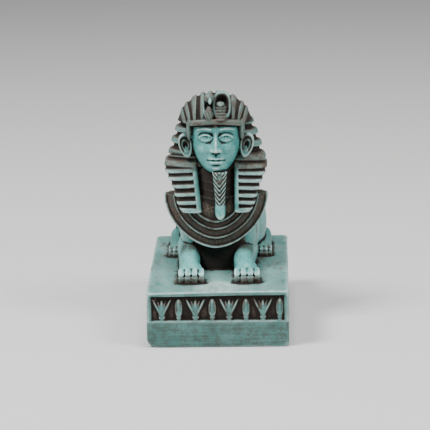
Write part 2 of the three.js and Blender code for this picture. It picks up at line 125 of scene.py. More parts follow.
def along(table, place):
    """Reads a table of rows [place, value, ...] by a cubic whose slopes come from the neighbouring rows."""
    table = np.asarray(table, float)
    at, values = table[:, 0], table[:, 1:]
    slope = np.gradient(values, at, axis=0)
    i = np.clip(np.searchsorted(at, place) - 1, 0, len(at) - 2)
    step = at[i + 1] - at[i]
    s = (np.clip(place, at[0], at[-1]) - at[i]) / step
    s, step = s[..., None], step[..., None]
    start = (1 + 2 * s) * (1 - s) ** 2 * values[i] + s * (1 - s) ** 2 * step * slope[i]
    end = s * s * (3 - 2 * s) * values[i + 1] + s * s * (s - 1) * step * slope[i + 1]
    return np.moveaxis(start + end, -1, 0)


def bands(value, centres, half, edge=0.4):
    """1 on flat bands round the centres, 0 between them, with soft shoulders of width edge."""
    centres = np.asarray(centres, float)
    half = np.broadcast_to(half, centres.shape)
    gap = np.abs(np.asarray(value)[..., None] - centres) - half
    return (1.0 - smooth(gap, -edge * 0.5, edge * 0.5)).max(-1)


def lattice_noise(points, size, seed):
    """Smooth noise from -1 to 1: random values on a cubic lattice, mixed by the cubic of each distance."""
    rng = np.random.default_rng(seed)
    values = rng.uniform(-1.0, 1.0, (32, 32, 32))
    grid = points / size
    low = np.floor(grid).astype(int)
    s = grid - low
    s = s * s * (3.0 - 2.0 * s)
    total = np.zeros(len(points))
    for corner in range(8):
        offset = np.array([corner & 1, (corner >> 1) & 1, (corner >> 2) & 1])
        weight = np.where(offset, s, 1.0 - s).prod(1)
        x, y, z = ((low + offset) % 32).T
        total += weight * values[x, y, z]
    return total


# Shells


POLE = 0.04
SUNK = -2.5


class Casting:
    """Closed shells that are cast together. Each point carries how much dark wash lies on it, from 0 to 1; on
    the breast and the tops of the forelegs under the collar that number is painted shade, and on the throat
    partly so.
    """

    def __init__(self):
        self.points, self.faces, self.wash, self.count = [], [], [], 0

    def skin(self, grid, wash=0.0):
        """A tube of rings, rows by turns, closed at both ends by a fan to the middle of the end ring."""
        rows, around = grid.shape[:2]
        points = np.concatenate([grid.reshape(-1, 3), grid[0].mean(0)[None], grid[-1].mean(0)[None]])
        ring = np.arange(around)
        after = (ring + 1) % around
        base = np.arange(rows - 1)[:, None] * around
        a, b = (base + ring).ravel(), (base + after).ravel()
        sides = np.concatenate([np.stack([a, b, b + around], 1), np.stack([a, b + around, a + around], 1)])
        first = np.stack([after, ring, np.full(around, rows * around)], 1)
        last = (rows - 1) * around
        closing = np.stack([ring + last, after + last, np.full(around, rows * around + 1)], 1)
        faces = np.concatenate([sides, first, closing])
        corner = points[faces]
        if (corner[:, 0] * np.cross(corner[:, 1], corner[:, 2])).sum() < 0:
            faces = faces[:, ::-1]
        paint = np.broadcast_to(wash, (rows, around)).astype(float)
        self.points.append(points)
        self.faces.append(faces + self.count)
        self.wash.append(np.concatenate([paint.ravel(), [paint[0].mean(), paint[-1].mean()]]))
        self.count += len(points)

    def form(self, x, y, z, wash=0.0):
        """A skin over three coordinates that each vary by row, by turn or by both."""
        self.skin(np.stack(np.broadcast_arrays(x, y, z), -1), wash)

    def ball(self, centre, sizes, tilt=0.0, wash=0.0, rows=34, around=44):
        """An ellipsoid: a sphere stretched to three half sizes and turned about X."""
        down, turn = column(POLE, np.pi - POLE, rows), turns(around)
        x = sizes[0] * np.sin(down) * np.cos(turn)
        y = sizes[1] * np.sin(down) * np.sin(turn)
        z = sizes[2] * np.cos(down)
        c, s = math.cos(tilt), math.sin(tilt)
        self.form(centre[0] + x, centre[1] + y * c - z * s, centre[2] + y * s + z * c, wash)

    def lying(self, table, middle, rows, around, squareness=2.4, floor=SUNK, wash=0.0):
        """A form along Y from rows [y, half width, top]: superellipses that stand on a floor."""
        y = column(table[0][0], table[-1][0], rows)
        half, top = along(sorted(table), y)
        c, s = bow(turns(around), squareness)
        high = (top - floor) / 2
        self.form(middle + half * c, y, floor + high * (1 + s), wash)


# Plinth


def rounded_block(casting, low, high, corner, edge, rows=40):
    """A block with a rectangular plan and round corners, drawn in by a quarter circle at top and bottom."""
    low, high = np.array(low, float), np.array(high, float)
    rise = np.linspace(0, np.pi / 2, 8)
    lift = edge * (1 - np.cos(rise))
    upright = np.linspace(low[2] + edge, high[2] - edge, rows)[1:-1]
    z = np.concatenate([low[2] + lift, upright, high[2] - lift[::-1]])
    drawn = edge * (1 - np.sin(rise))
    inward = np.concatenate([drawn, np.zeros(rows - 2), drawn[::-1]])
    half = (high[:2] - low[:2]) / 2
    arcs = []
    for step, sign in enumerate([(1, 1), (-1, 1), (-1, -1), (1, -1)]):
        angle = np.linspace(0, np.pi / 2, 9) + step * np.pi / 2
        arcs.append(sign * (half - corner) + corner * np.stack([np.cos(angle), np.sin(angle)], 1))
    plan = np.concatenate(arcs)
    ring = plan[None] - np.sign(plan)[None] * inward[:, None, None] + (high[:2] + low[:2]) / 2
    casting.form(ring[..., 0], ring[..., 1], z[:, None], PLINTH_WASH)


def petal(u, v, foot, lean, length, half):
    """Height of one petal: a pointed leaf that leans from upright, with a ridge along its middle."""
    c, s = math.cos(lean), math.sin(lean)
    up = (u * s + (v - foot) * c) / length
    off = np.abs(u * c - (v - foot) * s)
    held = np.clip(up, 0, 1)
    width = half * (4 * held * (1 - held)) ** 0.55
    inside = np.clip(1 - off / np.maximum(width, 1e-3), 0, 1)
    return np.where((up > 0) & (up < 1), np.minimum(1, 2.2 * inside) * 0.85 + 0.15 * inside, 0)


def stalk(side, v, ring, foot):
    """Height of the ring under a flower and of the foot below it, from the half widths of the two."""
    ring = smooth(ring - side, -0.1, 0.1) * bands(v, [0.62], 0.26, 0.2)
    foot = smooth(foot - side, -0.1, 0.1) * (1 - smooth(v, 0.25, 0.35))
    return np.maximum(ring, 0.85 * foot)


def lotus_height(u, v):
    """Height of an open lotus from 0 to 1: five petals over a cup and a stalk. v runs up from its base."""
    side = np.abs(u)
    leaves = petal(u, v, 1.7, 0.0, 5.9, 0.95)
    leaves = np.maximum(leaves, 0.85 * petal(side, v, 1.5, 0.27, 6.0, 0.5))
    leaves = np.maximum(leaves, petal(side, v, 0.9, 0.47, 8.1, 0.66))
    cup = smooth(0.95 + 0.30 * (v - 1) - side, -0.12, 0.12) * smooth(v, 0.95, 1.1) * (1 - smooth(v, 3.8, 5.2))
    return np.maximum.reduce([leaves, 0.78 * cup, stalk(side, v, 1.3, 0.95)])


def bud_height(u, v):
    """Height of a closed bud from 0 to 1: a pointed oval with two lines down it, over a stalk."""
    side = np.abs(u)
    up = np.clip((v - 0.95) / 7.3, 0, 1)
    width = 1.6 * np.clip(1 - np.abs(2 * up ** 0.85 - 0.95) ** 2.6 / 1.14, 0, 1) ** 0.6
    oval = np.clip((width - side) / 0.35, 0, 1) * ((v > 0.95) & (v < 8.2))
    lines = 0.6 * hump(side, 0.5 * width, 0.18) * smooth(up, 0.2, 0.35) * (1 - smooth(up, 0.8, 0.95))
    return np.maximum(oval * (1 - lines), stalk(side, v, 1.05, 0.8))


def frieze_side(casting, length, distance, turn):
    """One sunk side of the plinth as a height field: the ground, with lotus and bud raised on it in turn."""
    panel = length - 2 * FRIEZE_END
    room = panel - LOTUS_START - BUD_END
    pairs = round(room / FLOWER_PITCH / 2 + 0.5)
    pitch = room / (2 * pairs - 1)
    u = np.linspace(-panel / 2 - 1, panel / 2 + 1, int(panel / 0.17))[:, None]
    v = np.linspace(-1, FRIEZE_HEIGHT + 1, 62)[None, :]
    start = LOTUS_START - panel / 2
    place = (u - start) / (2 * pitch)
    number = np.clip(np.round(place), 0, pairs - 1)
    lotus = lotus_height(u - start - 2 * pitch * number, v - FLOWER_FOOT)
    number = np.clip(np.round(place - 0.5), 0, pairs - 1)
    bud = bud_height(u - start - pitch - 2 * pitch * number, v - FLOWER_FOOT)
    height = np.maximum(lotus, bud)
    wash = 0.9 - 0.64 * smooth(height, 0.3, 0.9)
    front = FRIEZE_DEPTH - distance - FLOWER_DEPTH * height
    y = np.concatenate([front, 0 * front - distance + PANEL_THICK], 1)
    z = np.concatenate([v, v[:, ::-1]], 1) + FRIEZE_BASE
    c, s = math.cos(turn), math.sin(turn)
    casting.form(u * c - y * s, u * s + y * c, z, np.concatenate([wash, wash[:, ::-1]], 1))


def plinth(casting):
    """The plinth: a broad base, a thin top slab, four corner posts, and a frieze sunk between them."""
    x, y, z = PLINTH[0] / 2, PLINTH[1] / 2, PLINTH[2]
    top = FRIEZE_BASE + FRIEZE_HEIGHT
    rounded_block(casting, (-x, -y, 0), (x, y, FRIEZE_BASE), 1.9, 0.8)
    rounded_block(casting, (-x, -y, top), (x, y, z), 1.8, 0.6, 12)
    rounded_block(casting, (-x + 3.5, -y + 3.5, 2), (x - 3.5, y - 3.5, z - 0.6), 1.0, 0.3)
    for sx in (-1, 1):
        for sy in (-1, 1):
            cx, cy = sx * (x - POST - 0.1), sy * (y - POST - 0.1)
            low, high = (cx - POST, cy - POST, FRIEZE_BASE - 1), (cx + POST, cy + POST, top + 0.8)
            rounded_block(casting, low, high, 0.8, 0.2, 12)
    for quarter in range(4):
        length, distance = ((PLINTH[0], y), (PLINTH[1], x))[quarter % 2]
        frieze_side(casting, length, distance, quarter * np.pi / 2)


# Lion


def leg_x(side, y):
    """The middle of a foreleg at a place along it: it runs a little aslant, from the shoulder to the paw."""
    share = np.clip((y + 22) / (PAW_TIP + 24), 0, 1)
    return side * LEG_X - 0.8 + 1.3 * share


def paw(casting, middle, tip, width, length, height, wash=0.0):
    """A paw: four toes side by side under a sloping back. Under each toe a blunt nail stands out, with a
    crease between the two."""
    pitch = width / 4
    casting.lying(
        [[tip + 1.7, width * 0.40, height * 0.45], [tip + 0.32 * length, width * 0.45, height * 0.84],
         [tip + 0.6 * length, width * 0.465, height * 1.05], [tip + length, width * 0.39, height * 1.3]],
        middle, 30, 44, 3.0,
        wash=np.maximum(wash, 0.95 * (1 - smooth(column(1.7, length, 30), 3.4, 6.2))),
    )
    for i in range(4):
        outer = i in (0, 3)
        start = tip + (0.8 if outer else 0.0)
        tall = height * (0.9 if outer else 1.0)
        x = middle + (i - 1.5) * pitch
        casting.lying(
            [[start + 0.45, pitch * 0.30, tall * 0.66], [start + 0.7, pitch * 0.39, tall * 0.76],
             [start + 1.6, pitch * 0.425, tall * 0.93], [start + 3.2, pitch * 0.435, tall * 1.08],
             [start + 5.4, pitch * 0.38, tall * 1.14]],
            x, 30, 30, 2.5, floor=tall * 0.64, wash=wash,
        )
        casting.lying(
            [[start, pitch * 0.39, tall * 0.47], [start + 0.2, pitch * 0.415, tall * 0.51],
             [start + 3.0, pitch * 0.415, tall * 0.52]],
            x, 16, 36, 9.0, wash=max(wash, 0.42),
        )


def lion(casting):
    """The crouching body: trunk, haunches, upper arms, forelegs, hind feet, paws, and a tail on one thigh."""
    # Painted shade: the trunk's front under the collar, between the forelegs, carries nearly full wash.
    breast = 0.12 + 0.85 * (1 - smooth(column(-13.5, 46.8, 120), -10.5, -3.0))
    casting.lying(
        [[-13.5, 6.5, 17], [-12, 10.5, 25], [-8, 14.2, 31], [-2, 16.3, 33], [6, 16.2, 31.5], [14, 15.2, 29],
         [22, 15, 28], [30, 15.3, 28.2], [37, 14, 26], [43, 10.5, 20.5], [46.8, 5, 12]],
        0.2, 120, 120, wash=breast,
    )
    foreleg = column(7, -35.5, 90)
    shade = 0.36 * hump(foreleg, -14.5, 7.8) * smooth(np.sin(turns(56)), 0.1, 0.8)
    for side in (1, -1):
        casting.ball((side * 10 + 0.9, 26.5, 12), (8.7, 17, 15.4), 0.16, 0.12, 60, 80)
        casting.ball((side * 11, -2.5, 15), (4.8, 9.5, 15), -0.12, 0.16, 50, 60)
        casting.lying(
            [[7, 3, 7], [4, 4.9, 11.5], [-5, 4.7, 12], [-14, 4.3, 10.2], [-22, 4.05, 9.2], [-29, 4.0, 8.2],
             [-33, 4.5, 7.2], [-35.5, 4.7, 5.6]],
            leg_x(side, foreleg), 90, 56, wash=shade,
        )
        casting.lying(
            [[41, 2, 4], [38, 3.1, 6.6], [30, 3.3, 6.2], [21, 3.2, 5], [13, 3.4, 4.4]],
            side * HIND_FOOT_X, 60, 40, wash=0.25,
        )
        paw(casting, leg_x(side, PAW_TIP), PAW_TIP, 10.9, 10.5, 5.4)
        paw(casting, side * HIND_FOOT_X, 9.8, 7.4, 7.5, 3.9, 0.3)
    tail = [[0, 0, 43, 6], [1, -6, 47, 3], [2, -13, 46, 1.8], [3, -17.4, 41.5, 4], [4, -18.2, 35, 9],
            [5, -17.4, 29, 12.8], [6, -17, 25, 14]]
    line = along(tail, np.linspace(0, 6, 110)).T
    way = np.gradient(line, axis=0)
    way /= np.linalg.norm(way, axis=1, keepdims=True)
    side = np.cross(way, [0.0, 0.3, 1.0])
    side /= np.linalg.norm(side, axis=1, keepdims=True)
    lift = np.cross(side, way)
    turn = turns(26)[..., None]
    casting.skin(line[:, None] + 1.5 * (np.cos(turn) * side[:, None] + np.sin(turn) * lift[:, None]))
    casting.ball((-16.8, 22, 14.4), (1.8, 4.2, 2.5), 0.2)


# Broad collar

COLLAR_DRIFT = -0.9
COLLAR_CENTRE = 31.6
COLLAR_RADIUS = 21.5
COLLAR_RIMS = (21.1, 17.2, 13.4, 10.4)
COLLAR_LINES = (19.6, 18.6, 15.7, 14.8, 12.2)


def collar(casting):
    """The broad collar: rings round the neck on a sheet that is upright over the chest and turns back over
    the shoulders. A thin rim stands up at the foot of each ring, and the bands between hold the wash."""
    edge = np.linspace(COLLAR_RADIUS, COLLAR_RADIUS - 0.5, 4)
    radius = np.concatenate([np.linspace(0.4, edge[0], 190), edge[1:], np.linspace(edge[-1], 8, 24)])
    behind = np.concatenate([np.zeros(190), np.linspace(0, 2.2, 4)[1:], np.linspace(2.2, 14, 24)])
    radius, behind = radius[::-1, None], behind[::-1, None]
    rims = bands(radius, COLLAR_RIMS, [0.5, 0.33, 0.33, 0.33], 0.45)
    tier = 0.28 * ((COLLAR_RIMS[0] - radius) % 3.8) / 3.8 + 0.14 * bands(radius, COLLAR_LINES, 0.16, 0.4)
    rise = np.where(behind > 0, 0.75, 0.78 * rims + tier)
    turn = turns(260)
    across, down = np.sin(turn), np.cos(turn)
    share = radius / COLLAR_RADIUS
    x = COLLAR_DRIFT + radius * across * np.abs(across) ** 0.15
    sheet = -18.4 + 9.4 * (share * across) ** 2
    z = COLLAR_CENTRE - radius * np.where(down > 0, down, 0.05 * down)
    into_throat = 2.4 * smooth(z, 25.0, COLLAR_CENTRE) * (1 - smooth(np.abs(x), 6.5, 9.5))
    y = sheet - rise + behind + 11 * np.maximum(0, -down) * share
    y = y + 1.2 * np.maximum(0, down) * share + into_throat
    casting.form(x, y, z, np.where(behind > 0, 0.55, 0.85 - 0.58 * rims - 0.12 * tier))


# Head


def features(x, z):
    """How far the face stands forward of a plain oval: the sum of bells for brow, socket, eyeball, lids,
    nose, lips, chin and cheeks. The eyes lie half way up the head, and the face is five eyes wide."""
    side = np.abs(x)

    def spot(height, x_at, x_wide, z_at, z_wide):
        return height * hump(side, x_at, x_wide) * hump(z, z_at, z_wide)

    eye_x, eye_z, brow_z, nose_z, mouth_z = 4.2, 56.2, 59.2, 50.3, 47.0
    down = np.clip((brow_z - 0.4 - z) / (brow_z - 1.3 - nose_z), 0, 1)
    under = smooth(z, nose_z - 0.5, nose_z + 0.4)
    nose = under * (0.55 + 2.7 * down ** 1.1) * hump(x, 0, 1.05 + 0.75 * down)
    wings = spot(1.25, 1.95, 0.8, nose_z + 1.0, 1.0)
    nostril = spot(0.8, 1.05, 0.5, nose_z - 0.15, 0.45)
    arch = brow_z + 0.75 - 0.05 * (side - eye_x) ** 2 + 0.02 * (side - eye_x)
    brow = 0.8 * hump(z, arch, 0.75) * smooth(side, 0.9, 2.2) * (1 - smooth(side, 7.4, 8.8))
    fall = np.where(z > eye_z, 1.9, 2.6)
    socket = spot(1.75, eye_x - 0.5, 3.1, eye_z + 0.35, fall)
    inner = spot(0.7, 1.7, 0.85, eye_z + 0.7, 1.4)
    apart = np.abs(side - eye_x)
    reach = np.clip(apart / 2.5, 0, 1)
    open_eye = 1.02 * (1 - reach ** 2) ** 0.8
    ball = 1.65 * np.clip(1 - (apart / 3.1) ** 2 - ((z - eye_z) / 2.0) ** 2, 0, 1) ** 0.8
    slit = smooth(open_eye - np.abs(z - eye_z), -0.12, 0.12)
    upper = 0.7 * hump(z, eye_z + open_eye + 0.25, 0.36) * (1 - smooth(apart, 2.6, 3.2))
    lower = 0.3 * hump(z, eye_z - 0.85 * open_eye - 0.25, 0.36) * (1 - smooth(apart, 2.2, 2.9))
    fold = 0.3 * hump(z, eye_z + open_eye + 0.95, 0.25) * (1 - smooth(apart, 2.2, 3.0))
    tail = 0.5 * hump(z, eye_z - 0.1, 0.34) * smooth(side, eye_x + 2.1, eye_x + 2.7)
    tail = tail * (1 - smooth(side, 8.0, 9.0))
    iris = 0.42 * hump(np.hypot(side - eye_x, z - eye_z - 0.05), 0.68, 0.17)
    mouth_arc = mouth_z - 0.03 * side ** 1.5
    wide = 1 - smooth(side, 2.4, 3.7)
    bow_dip = 0.28 * hump(x, 0, 0.65)
    top_lip = 1.05 * hump(z, mouth_arc + 0.8 - bow_dip, 0.55) * wide
    low_lip = 1.2 * hump(z, mouth_arc - 0.92, 0.66) * (1 - smooth(side, 1.8, 3.4))
    part = 0.75 * hump(z, mouth_arc, 0.24) * (1 - smooth(side, 3.2, 4.0))
    corner = spot(0.4, 3.7, 0.55, mouth_arc, 0.6)
    groove = spot(0.35, 0, 0.5, nose_z - 1.1, 0.7)
    under_lip = spot(0.55, 0, 2.2, mouth_z - 2.3, 0.6)
    fold_line = 0.18 * hump(side - 0.32 * (nose_z + 1.2 - z), 2.9, 0.45) * hump(z, 49.2, 1.8)
    muzzle = spot(0.9, 0, 3.6, mouth_z, 3.0)
    chin = spot(1.2, 0, 2.7, CHIN + 2.4, 1.5)
    cheek = spot(1.15, 5.9, 2.4, 51.4, 3.0)
    raised = nose + wings + brow + ball + upper + lower + tail + top_lip + low_lip + muzzle + chin + cheek
    sunk = nostril + socket + inner + iris * slit + part + corner + groove + under_lip + fold + fold_line
    return raised - sunk


def face(casting):
    """The face: superellipse rings that widen from the chin to the brow, pushed forward by its features."""
    z = column(CHIN - 0.6, BAND_LOW + 1.5, 190)
    half, front = along(
        [[CHIN - 0.6, 2.2, 6.2], [CHIN + 1, 4.7, 8], [CHIN + 3.5, 6.9, 8.9], [CHIN + 7, 8.7, 9.6],
         [CHIN + 11, 9.9, 9.9], [CHIN + 16, 10.3, 10.1], [BAND_LOW + 1.5, 10.2, 10.2]], z,
    )
    ahead = np.linspace(np.pi, 2 * np.pi, 210)
    ahead = ahead + 0.22 * np.sin(2 * ahead)
    turn = np.concatenate([ahead, np.linspace(0, np.pi, 30)[1:-1]])[None, :]
    c, s = bow(turn, 2.3)
    x = half * c
    forward = smooth(np.maximum(0, -np.sin(turn)), 0.1, 0.6)
    y = HEAD_MIDDLE_Y + front * s - features(x, z) * forward
    casting.form(HEAD_DRIFT + x, y, z, 0.75 * smooth(z, 60.2, 61.6) + 0.5 * hump(z, CHIN - 0.6, 1.0))


def ear(casting, side):
    """An ear: a shell of nested ovals from the middle of its bowl to its rim and round to its back. A thick
    rim and a lower ridge inside it stand round a small bowl, and the lobe is narrower than the top."""
    s, front = ovals(50, 16)
    turn = turns(84)
    egg = 1 + 0.2 * np.cos(turn)
    lobe = smooth(-np.cos(turn), 0.45, 0.9)
    rim = hump(s, 0.83, 0.15) * (1 - 0.5 * lobe)
    ridge = 0.5 * hump(s, 0.47, 0.12) * smooth(np.sin(turn), -0.5, 0.3)
    bowl = 0.9 * (1 - smooth(s, 0.18, 0.42)) * (1 - lobe)
    relief = rim + ridge - bowl + 0.45 * lobe * smooth(s, 0.3, 0.6)
    dome = np.sqrt(np.clip(1 - s * s, 0, 1))
    thick = np.where(front, relief + 0.6 * dome, -1.5 * dome)
    across = side * 2.8 * s * np.sin(turn) * egg
    up = 5.2 * s * np.cos(turn)
    lean = 0.2 * side
    x = across * math.cos(lean) + up * math.sin(lean)
    z = up * math.cos(lean) - across * math.sin(lean)
    y = -12.6 - thick - 0.17 * across * side + 0.06 * up
    groove = hump(s, 0.64, 0.1) * (1 - lobe) + (1 - smooth(s, 0.22, 0.4)) * (1 - lobe)
    wash = np.maximum(0.26, 0.85 * front * np.clip(groove, 0, 1))
    casting.form(HEAD_DRIFT + side * EAR_X + x, y, EAR_Z + z, wash)


def beard(casting):
    """The plaited beard: a tapering bar cut across by V strokes, with a plain tip that turns forward."""
    z = column(22.6, 41.9, 150)
    half, front = along(
        [[22.6, 0.9, -21.6], [23.6, 1.75, -21.7], [25.5, 2.1, -21.4], [28.5, 2.15, -20.7], [33, 2.35, -20.3],
         [38, 2.75, -19.9], [41.9, 3.15, -19.5]], z,
    )
    c, s = bow(turns(72), 3.0)
    x = half * c
    phase = (z - 1.25 * np.abs(x + 0.15)) / 1.8
    stroke = smooth(0.5 + 0.5 * np.cos(2 * np.pi * phase), 0.2, 0.7)
    eye = np.hypot(x, (z - 39.3) * 0.75)
    knot = 1 - smooth(eye, 1.0, 1.35)
    plait = smooth(z, 28.1, 28.8) * (1 - knot)
    depth = 0.5 * plait * (1 - stroke) + 0.45 * hump(eye, 0.75, 0.22) + 0.3 * hump(eye, 1.25, 0.15)
    back = -14.0
    out = (back - front) / 2
    y = (front + back) / 2 + (out - depth) * s
    wash = np.clip(plait * (1 - stroke) + 1.6 * (1 - plait) * depth, 0, 1)
    casting.form(BEARD_X + x - 0.25 * depth * c, y, z, wash)


def throat(casting):
    """The neck and the breast between the lappets, ribbed by the uppermost rows of the collar."""
    z = column(17, 47, 150)
    c, s = bow(turns(120), 2.4)
    x = 8.6 * c * (1 - 0.2 * smooth(z, 40, 46))
    rows = bands(z - 0.03 * x * x, [20.6, 23.9, 27.2, 30.4, 33.6, 36.8], 0.3, 0.5)
    front = along([[17, 16.8], [24, 17.6], [31, 17.0], [38, 14.8], [44, 12.5], [47, 11]], z)[0]
    y = -6 + np.where(s < 0, (front - 6) * s, 9 * s) - 0.4 * rows * np.maximum(0, -s)
    # The throat carries nearly full wash: brown wash between the collar's rows, and painted shade under the
    # chin.
    casting.form(HEAD_DRIFT + x, y, z, 1 - 0.12 * rows)


# Striped headcloth

LAPPET_BASE = 25.3
WIDEST = 43.6
LEFT_STRIPES = (29.35, 32.7, 36.0, 39.1, 42.05)
RIGHT_STRIPES = (29.3, 32.15, 35.1, 37.95, 40.85)
WING_STRIPES = (43.7, 47.4, 52.3, 57.1, 61.7)
STRIPE_FALL = 0.05


def cloth_edge(z):
    """Half the width of the headcloth as seen from the front, at a height."""
    return along(
        [[LAPPET_BASE, 13.9], [27, 15.3], [30.5, 16.6], [33.7, 17.6], [36.7, 18.7], [39.8, 20.2],
         [WIDEST, 21.3], [48, 19.8], [53, 18.5], [58, 16.8], [62, 15.4], [66, 13.0], [69, 10.5]], z,
    )[0]


def wing_stripes(z):
    return bands(z, WING_STRIPES, [1.15, 1.2, 1.25, 1.2, 1.1], 1.0)


def cowl(casting):
    """The cloth round the sides and back of the head: superellipse rings, thick stripes and deep grooves."""
    z = column(27, 67, 230)
    front, back = along(
        [[27, -9, 8], [36, -11, 9.2], [WIDEST, -12, 9.6], [50, -11, 9.4], [57, -10.8, 9], [63, -12, 8],
         [67, -11.2, 6]], z,
    )
    low = bands(z, [29, 32.6, 36.2, 39.8], 1.05, 0.7)
    c, s = bow(turns(200), 2.5)
    stand = np.maximum(low, wing_stripes(z + STRIPE_FALL * cloth_edge(z) * c))
    inset = 1.55 * (1 - stand)
    x = (cloth_edge(z) - inset) * c
    y = (front + back) / 2 + ((back - front) / 2 - inset) * s
    casting.form(CLOTH_DRIFT + x, y, z, 1 - (0.58 + 0.13 * smooth(z, 46.0, 51.0)) * stand)


def lappet(casting, side):
    """The flap over the chest: a slab that slopes forward as it falls, striped across, with a plain border
    down its inner edge and along its foot."""
    z = column(LAPPET_BASE, 47.5, 170)
    outer = cloth_edge(z)
    inner = 7.6 if side > 0 else 5.9 + 0.1 * (z - 25)
    front, back = along(
        [[LAPPET_BASE, -20.3, -12], [33, -18.9, -10], [40, -16.6, -8], [44, -14.2, -8], [47.5, -11.5, -8]], z
    )
    c, s = bow(turns(150), 4.2)
    middle, half = (inner + outer) / 2, (outer - inner) / 2
    across = middle + half * c
    stripes = bands(z + 0.06 * (across - 11), RIGHT_STRIPES if side > 0 else LEFT_STRIPES, 0.78, 0.55)
    foot = 1 - smooth(z + 0 * c, LAPPET_BASE + 1.6, LAPPET_BASE + 2.1)
    wing = wing_stripes(z + STRIPE_FALL * side * across) * smooth(z, 41.8, 42.8)
    border = (1 - smooth(across - inner, 1.65, 2.05)) * (1 - smooth(z, 43.5, 45.5))
    stand = np.maximum.reduce([stripes, foot, wing, border])
    sunk = 1.05 * (1 - stand)
    x = across - sunk * 0.5 * np.maximum(0, c)
    bend = 0.016 * (across - inner) ** 2
    y = (front + back) / 2 + bend + ((back - front) / 2) * s + sunk * np.maximum(0, -s) ** 0.5
    casting.form(CLOTH_DRIFT + side * x, y, z, 0.89 - (0.68 - 0.19 * smooth(z, 40.5, 43.5)) * stand)


CROWN_RIBS = (1.6, 4.75, 7.9, 10.5, 12.9)


def crown(casting):
    """The crown of the headcloth: a dome cut into planes across X, each a ring, ribbed from front to back.
    The outer ribs lean outwards as they rise."""
    half = (15.7, 13.2, 15.5)
    middle = (CLOTH_DRIFT - 0.2, -5.2, 58.0)
    x = column(-half[0] + 0.15, half[0] - 0.15, 250)
    share = (1 - np.abs(x / half[0]) ** 2.2) ** (1 / 2.2)
    c, s = bow(turns(170), 2.2)
    off = np.abs(x + 0.15)
    spread = np.clip(half[2] * share * s - 7.0, -3.0, 5.0)
    stand = bands(off - 0.33 * spread * smooth(off, 7.5, 12.0), CROWN_RIBS, 0.78, 0.5)
    inset = 0.95 * (1 - stand)
    y = (half[1] * share - inset) * c
    z = (half[2] * share - inset) * s
    keep = 1.0 - smooth(BAND_LOW - 0.5 - middle[2] - z, 0.0, 2.0) * np.maximum(0, -c) * 0.6
    z = np.maximum(z, 3.6)
    casting.form(middle[0] + x, middle[1] + y * keep, middle[2] + z, 1 - 0.6 * stand)


def brow_band(casting):
    """The plain band across the forehead: it dips towards the temples and ends in tabs before the ears."""
    t = column(0, 1, 34)
    swell = np.sqrt(np.clip(1 - (2 * t - 1) ** 4, 0, 1))
    c, s = bow(turns(220), 2.5)
    half = 11.1 + 0.95 * swell
    x = half * c
    y = HEAD_MIDDLE_Y + (half - 0.4) * s
    casting.form(HEAD_DRIFT - 0.2 + x, y, BAND_LOW - 0.2 + 2.35 * t - 0.013 * x * x, 0.44)
    for side in (1, -1):
        casting.ball((HEAD_DRIFT - 0.2 + side * 10.9, -13.4, 58.9), (1.15, 2.3, 4.5), 0.15, 0.40)


def queue(casting):
    """The cloth gathered behind the neck: a tapering tail with rings, lying down the lion's back."""
    y = column(3, 21, 90)
    stand = bands(y, [5.6, 9, 12.4, 15.8, 19.2], 1.1, 0.8)
    half = 3.9 - 0.07 * (y - 4) - 0.55 * (1 - stand)
    c, s = bow(turns(50), 2.2)
    middle = 31.4 - 0.2 * (y - 4)
    casting.form(half * c, y, middle + (half - 0.6) * s, 1 - stand)


# Royal emblems

EMBLEM_BASE = 64.0


def arched_plate(casting, middle, half, lean, relief, wash, thickness):
    """A standing plate with a round top: nested ovals from its middle to its edge and round to its back.
    relief and wash are functions of the share of the way to the edge and the height in half heights."""
    s, front = ovals(46, 14)
    c, sn = bow(turns(88) + np.pi / 2, 2.5)
    up, across = s * sn, s * c
    dome = np.sqrt(np.clip(1 - s * s, 0, 1))
    thick = np.where(front, relief(s, up) + 0.5 * dome, -thickness * dome)
    rise = half[1] * up
    x = middle[0] + half[0] * across
    y = middle[1] - thick * math.cos(lean) + rise * math.sin(lean)
    z = middle[2] + rise * math.cos(lean) + thick * math.sin(lean)
    casting.form(x, y, z, np.maximum(0.32, front * wash(s, up)))


def cobra(casting):
    """The rearing cobra: a cupped hood with a raised rim, a ribbed breast before its lower half, a head."""

    def relief(s, up):
        return 1.2 * hump(s, 0.83, 0.16) - 1.5 * (1 - smooth(s, 0.45, 0.7)) * smooth(up, -0.3, 0.1)

    def wash(s, up):
        return (1 - smooth(s, 0.66, 0.8)) * smooth(up, -0.9, -0.3)

    arched_plate(casting, (2.3, -17.9, EMBLEM_BASE + 5.8), (3.85, 6.0), 0.2, relief, wash, 3.2)
    rise = column(0, 6.6, 70)
    rib = bands(rise, [0.8, 2.0, 3.2, 4.4, 5.6], 0.38, 0.35)
    c, sn = bow(turns(44), 2.3)
    wide = 2.45 - 0.06 * (rise - 4) ** 2
    x = 1.75 + (wide + 0.15 * rib) * c
    y = -19.3 + 0.2 * rise + (1.75 + 0.32 * rib) * sn
    casting.form(x, y, EMBLEM_BASE - 0.6 + rise, 1.0 - 0.62 * rib)
    casting.ball((1.75, -19.2, EMBLEM_BASE + 6.4), (1.7, 2.2, 1.15), -0.2, 0.42)
    casting.ball((1.75, -20.9, EMBLEM_BASE + 6.1), (1.0, 0.9, 0.6), 0.0, 0.42, 20, 26)


